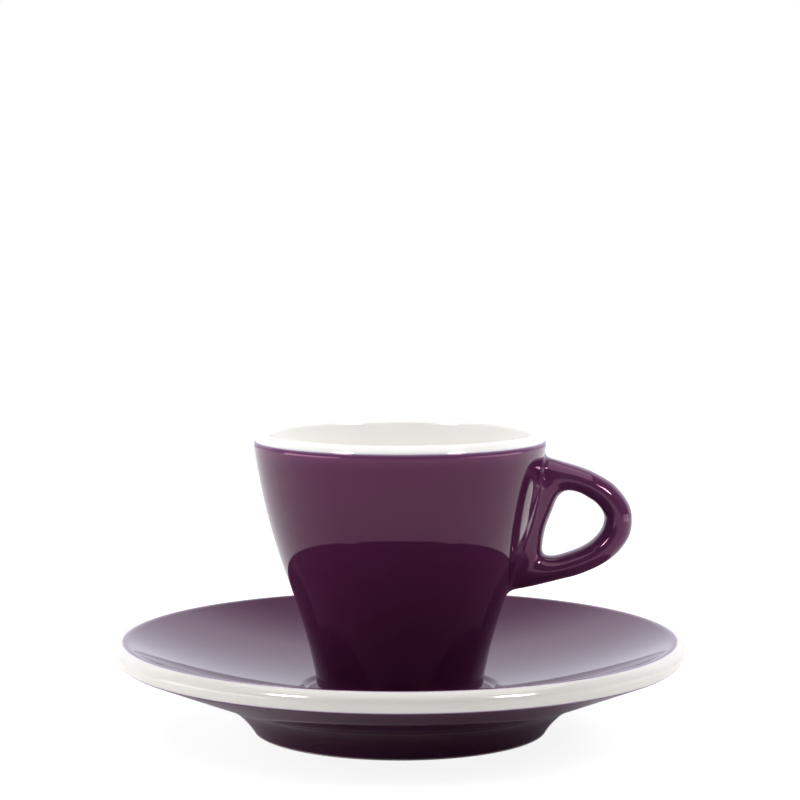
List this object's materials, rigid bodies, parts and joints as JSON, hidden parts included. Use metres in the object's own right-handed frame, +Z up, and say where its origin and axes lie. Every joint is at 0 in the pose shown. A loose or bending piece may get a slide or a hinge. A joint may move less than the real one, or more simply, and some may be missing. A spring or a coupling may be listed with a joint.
{
  "type": "espresso cup with saucer",
  "caption": "Flared porcelain espresso cup with a loop handle, standing in the well of a dished saucer with a rolled rim and a foot ring.",
  "frame": {"origin": "on the table, on the axis of the saucer and the cup", "axes": "+Z up along the axis of the cup and saucer, +X from the axis out through the middle of the handle"},
  "size_m": [0.125, 0.125, 0.0654],
  "materials": {
    "porcelain": "bare fired porcelain, matt",
    "white_glaze": "glossy white glaze",
    "aubergine_glaze": "glossy aubergine glaze"
  },
  "bodies": {
    "saucer": {"saucer_body": "porcelain", "saucer_top_glaze": "aubergine_glaze", "saucer_rim_glaze": "white_glaze", "saucer_base_glaze": "aubergine_glaze"},
    "cup": {"cup_body": "porcelain", "cup_inner_glaze": "white_glaze", "cup_outer_glaze": "aubergine_glaze", "cup_handle": "aubergine_glaze"}
  },
  "joints": [
    {"name": "cup_lift", "type": "slide", "parent": "saucer", "child": "cup", "axis": [0, 0, 1], "range_m": [0, 0.08]}
  ]
}
